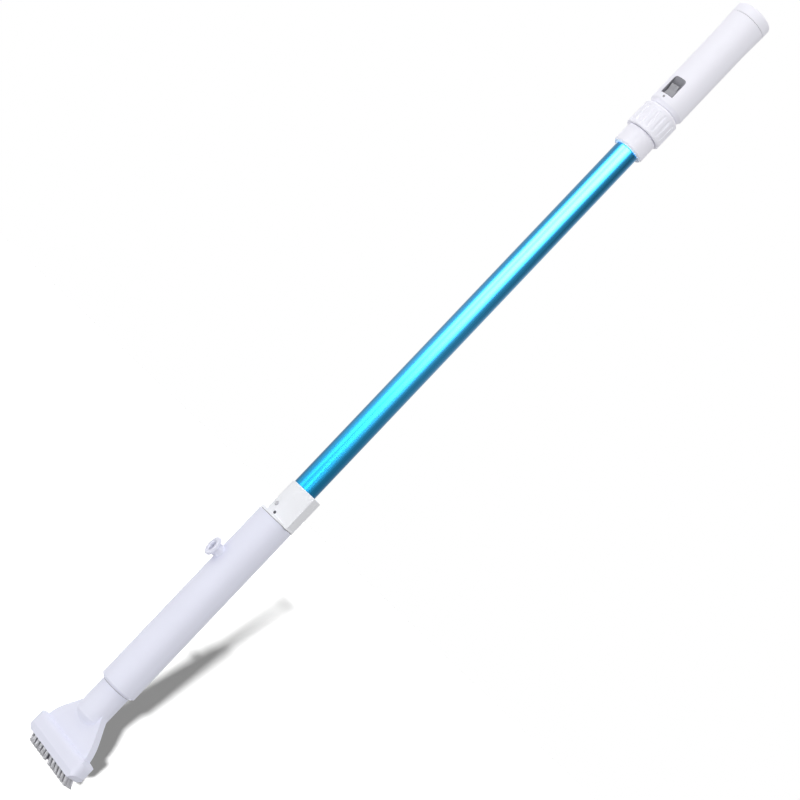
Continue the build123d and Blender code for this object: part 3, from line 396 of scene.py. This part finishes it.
LAVENDER = (0.785, 0.795, 0.91)
MATERIALS = {
    # painted shadow: the head plastic's band at 102.55 mm is the shade under the sleeve's lower edge; the
    # grip's and coupling's bands are joint lines
    "head_plastic": moulded("head_plastic", LAVENDER, 0.975, seams_and_shadows=((102.55, 0.5, 0.45),)),
    "grip_plastic": moulded("grip_plastic", (0.915, 0.91, 0.985), 0.975, seams_and_shadows=((1067.85, 0.17, 0.82),)),
    "coupling_plastic": moulded(
        "coupling_plastic", (0.88, 0.89, 0.93), 0.98, roughness=0.3, seams_and_shadows=((339.3, 0.36, 0.75),)
    ),
    "pole_blue": anodised("pole_blue", (0.014, 0.42, 0.84)),
    "bristle": filament_look("bristle"),
    "switch_grey": moulded("switch_grey", (0.28, 0.28, 0.31), 0.85),
    "rocker_grey": moulded("rocker_grey", (0.38, 0.38, 0.41), 0.85, roughness=0.35),
    "mark_grey": moulded("mark_grey", (0.36, 0.36, 0.39), 0.9, roughness=0.4),
    "lens": moulded("lens", (0.2, 0.2, 0.22), 0.8, roughness=0.15, specular=0.5),
    "rubber_black": moulded(
        "rubber_black", (0.02, 0.02, 0.022), 0.7, roughness=0.6, grain=1800, depth=0.00004
    ),
    "steel": machined("steel", (0.62, 0.62, 0.63), 0.28),
    "spring_steel": machined("spring_steel", (0.5, 0.5, 0.52), 0.22, (1, 1, 0.05)),
    "brass": machined("brass", (0.78, 0.57, 0.25), 0.3, (1, 1, 1)),
    "motor_steel": machined("motor_steel", (0.45, 0.45, 0.47), 0.4, (0.1, 0.1, 1)),
    "pump_black": moulded("pump_black", (0.03, 0.03, 0.033), 0.75, grain=1500),
    "strainer_grey": moulded("strainer_grey", (0.2, 0.21, 0.23), 0.85, grain=1500),
    "cell_wrap": printed_cell("cell_wrap"),
    "carrier_black": moulded("carrier_black", (0.02, 0.02, 0.022), 0.75, grain=1500),
    "board_green": moulded("board_green", (0.01, 0.1, 0.04), 0.6, roughness=0.3, grain=700),
    "cable_black": moulded("cable_black", (0.02, 0.02, 0.02), 0.75, roughness=0.45, grain=1200),
    "button_dark": moulded("button_dark", (0.6, 0.6, 0.64), 0.85, roughness=0.35),
    "oxide_black": moulded("oxide_black", (0.13, 0.13, 0.15), 0.7, roughness=0.5, grain=1500),
}

# nodes whose look isn't that of their slot: the coupling screw is drawn in dark grey instead of steel
SPECIAL = {"coupling_screw": "oxide_black"}

for part in frame["record"]["subparts"]:
    shown = nodes[part["node"]]
    shown.data.materials.clear()
    look = SPECIAL.get(part["node"], part["material_slot"])
    shown.data.materials.append(MATERIALS[look])

# ---------------------------------------------------------------- floor and its shadow

FLOOR_Z = -28.5 * MM             # clear of the brush head when it is pulled out
FLOOR_HALF = 80.0
FLOOR_GREY = 0.29
SUN_TURN = radians(2.6)          # the shadow falls this far to the right of straight back
SUN_HEIGHT = radians(8)
SUN_SOFTNESS = radians(0.9)
SUN_STRENGTH = 78.0


def add_floor():
    """Pale floor with the object's soft shadow on it; only the camera sees the floor."""
    corners = [(-1, -1), (1, -1), (1, 1), (-1, 1)]
    mesh = bpy.data.meshes.new("floor")
    mesh.from_pydata([(x * FLOOR_HALF, y * FLOOR_HALF, FLOOR_Z) for x, y in corners], [], [(0, 1, 2, 3)])
    floor = bpy.data.objects.new("floor", mesh)
    bpy.context.collection.objects.link(floor)
    material, graph, shader = principled("floor", (FLOOR_GREY,) * 3, 1.0, specular=0.0)
    mesh.materials.append(material)
    floor.visible_glossy = False
    floor.visible_diffuse = False
    floor.visible_shadow = False
    return floor


def add_sun(floor):
    """Low soft sun from behind the camera that lights nothing but the floor."""
    data = bpy.data.lights.new("sun", "SUN")
    data.energy = SUN_STRENGTH
    data.angle = SUN_SOFTNESS
    sun = bpy.data.objects.new("sun", data)
    origin = around(CAMERA_AZIMUTH - SUN_TURN) * cos(SUN_HEIGHT) + UP * sin(SUN_HEIGHT)
    sun.rotation_mode = "QUATERNION"
    sun.rotation_quaternion = origin.to_track_quat("Z", "Y")
    bpy.context.collection.objects.link(sun)
    lit = bpy.data.collections.new("lit_by_sun")
    lit.objects.link(floor)
    sun.light_linking.receiver_collection = lit


add_sun(add_floor())

# ---------------------------------------------------------------- pieces


def add_piece(name, vertices, faces, material, body, replaced=()):
    """A smooth mesh that rides on a body and takes the place of the replaced nodes."""
    mesh = bpy.data.meshes.new(name)
    mesh.from_pydata(vertices, [], faces)
    mesh.update()
    mesh.shade_smooth()
    mesh.materials.append(MATERIALS[material])
    piece = bpy.data.objects.new(name, mesh)
    bpy.context.collection.objects.link(piece)
    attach(piece, body)
    if replaced:
        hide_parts(*replaced)
    return piece


BASE_BOTTOM = 10.3 * MM
TUFT_PITCH = 6.7 * MM
TUFTS_PER_HALF = 5
FIRST_TUFT = 3.6 * MM            # from the middle of the brush to the first tuft
ROOT_SIZE = (3.2 * MM, 2.4 * MM)
TIP_GROWTH = (2.0 * MM, 0.9 * MM)
ROW_Y = 5.4 * MM
END_X = 36.2 * MM
END_Y = 4.7 * MM
SPLAY = 1.8 * MM                 # the halves' tips lean apart by this
LEFT_END_SPLAY = 0.2             # share of it that the tufts at the left end have
END_GROWTH = 0.2                 # share of the tips' growth that the end tufts have
RAKE = Vector((2.2, 3.2, 0)) * MM
ROOT_INSET = 1.0 * MM            # of the roots in the brush base
TIP_HEIGHTS = (0.02 * MM, 0.45 * MM)
FILAMENTS = (9, 6)
FILAMENT_R = 0.21 * MM
FILAMENT_SIDES = 5
FILAMENT_STEPS = 5


def filament(vertices, faces, root, tip, sway):
    """One round filament from root to tip, bowed by sway in its middle."""
    first = len(vertices)
    for step in range(FILAMENT_STEPS + 1):
        part = step / FILAMENT_STEPS
        centre = root.lerp(tip, part) + sway * sin(pi * part)
        radius = FILAMENT_R * (1 - 0.35 * part ** 4)
        for corner in range(FILAMENT_SIDES):
            turn = 2 * pi * corner / FILAMENT_SIDES
            vertices.append(centre + Vector((cos(turn), sin(turn), 0)) * radius)
    for step in range(FILAMENT_STEPS):
        for corner in range(FILAMENT_SIDES):
            here = first + step * FILAMENT_SIDES + corner
            beside = first + step * FILAMENT_SIDES + (corner + 1) % FILAMENT_SIDES
            faces.append((here, here + FILAMENT_SIDES, beside + FILAMENT_SIDES, beside))
    faces.append(tuple(first + corner for corner in range(FILAMENT_SIDES)))
    last = first + FILAMENT_STEPS * FILAMENT_SIDES
    faces.append(tuple(last + corner for corner in reversed(range(FILAMENT_SIDES))))


def jitter(chance, size):
    """Random level shift, up to size along x and along y."""
    return Vector((chance.uniform(-1, 1), chance.uniform(-1, 1), 0)) * size


def add_bristles(name, node, places, turned, seed):
    """Every filament of a group of tufts, which stand across the brush where they are turned."""
    chance = Random(seed)
    along, aside = Vector((1, 0, 0)), Vector((0, 1, 0))
    left_splay, growth = SPLAY, TIP_GROWTH
    if turned:
        along, aside = aside, along
        left_splay = SPLAY * LEFT_END_SPLAY
        growth = [size * END_GROWTH for size in TIP_GROWTH]
    vertices, faces = [], []
    for x, y in places:
        root_centre = Vector((x, y, BASE_BOTTOM + ROOT_INSET))
        apart = SPLAY if x > 0 else -left_splay
        lean = RAKE + Vector((apart, 0, 0)) + jitter(chance, 0.2 * MM)
        for i in range(FILAMENTS[0]):
            for j in range(FILAMENTS[1]):
                u = (i + 0.5) / FILAMENTS[0] * 2 - 1
                v = (j + 0.5) / FILAMENTS[1] * 2 - 1
                spot = along * (u * ROOT_SIZE[0] / 2) + aside * (v * ROOT_SIZE[1] / 2)
                root = root_centre + spot + jitter(chance, 0.06 * MM)
                wider = along * (u * growth[0] / 2) + aside * (v * growth[1] / 2)
                tip = root + lean + wider + jitter(chance, 0.12 * MM)
                tip.z = chance.uniform(*TIP_HEIGHTS) * (0.4 + abs(u))
                filament(vertices, faces, root, tip, jitter(chance, 0.12 * MM))
    return add_piece(name, vertices, faces, "bristle", "head", (node,))


def row(y):
    """Tuft centres along one row, both halves."""
    offsets = [FIRST_TUFT + TUFT_PITCH * i for i in range(TUFTS_PER_HALF)]
    return [(side * offset, y) for side in (-1, 1) for offset in offsets]


end_places = [(side * END_X, y) for side in (-1, 1) for y in (-END_Y, 0, END_Y)]
add_bristles("bristles_front", "tufts_front", row(-ROW_Y), False, 3)
add_bristles("bristles_rear", "tufts_rear", row(ROW_Y), False, 4)
add_bristles("bristles_ends", "tufts_ends", end_places, True, 5)

# the rocker's two marks, raised a little from its dished face
SWITCH_TURN = Matrix.Rotation(radians(8), 4, "Z")
PIN = Vector((0, -12.6, 955.6)) * MM
TILT = radians(9)                # of the rocker at rest
FACE_DIP = -4.2 * MM             # the face's middle, outward of the pin
FACE_SLOPE = -1.4 / 7.1          # and how it rises towards both ends
MARK_RISE = 0.18 * MM


def rocker_point(across, up, rise):
    """A point on the rocker's face: across is +X, up runs towards the cap, rise is outward."""
    out = FACE_DIP + FACE_SLOPE * abs(up) - rise
    offset = Vector((across, out * cos(TILT) - up * sin(TILT), out * sin(TILT) + up * cos(TILT)))
    return SWITCH_TURN @ (PIN + offset)


def add_mark(name, outline, inner):
    """Raised mark between an outer and an inner closed outline on the rocker's face."""
    count = len(outline)
    vertices = [rocker_point(a, b, MARK_RISE) for a, b in outline + inner]
    vertices += [rocker_point(a, b, -MARK_RISE) for a, b in outline + inner]
    faces = []
    for i in range(count):
        j = (i + 1) % count
        faces.append((i, j, count + j, count + i))
        faces.append((i, 2 * count + i, 2 * count + j, j))
        faces.append((count + i, count + j, 3 * count + j, 3 * count + i))
    return add_piece(name, vertices, faces, "mark_grey", "rocker")


MARK_POINTS = 32
MARK_HEIGHT = 3.9 * MM           # of either mark's middle from the rocker's middle


def circle(radius, middle):
    turns = [2 * pi * i / MARK_POINTS for i in range(MARK_POINTS)]
    return [(cos(a) * radius, middle + sin(a) * radius) for a in turns]


def rounded_bar(half_width, half_height, middle):
    """Stadium outline, taller than it is wide."""
    points = []
    for i in range(MARK_POINTS):
        turn = 2 * pi * i / MARK_POINTS
        shift = half_height - half_width if sin(turn) >= 0 else half_width - half_height
        points.append((cos(turn) * half_width, middle + sin(turn) * half_width + shift))
    return points


add_mark("mark_off", circle(1.75 * MM, MARK_HEIGHT), circle(1.3 * MM, MARK_HEIGHT))
add_mark(
    "mark_on",
    rounded_bar(0.3 * MM, 1.7 * MM, -MARK_HEIGHT),
    rounded_bar(0.02 * MM, 1.4 * MM, -MARK_HEIGHT),
)


def plain(box):
    return [list(map(float, corner)) for corner in box]
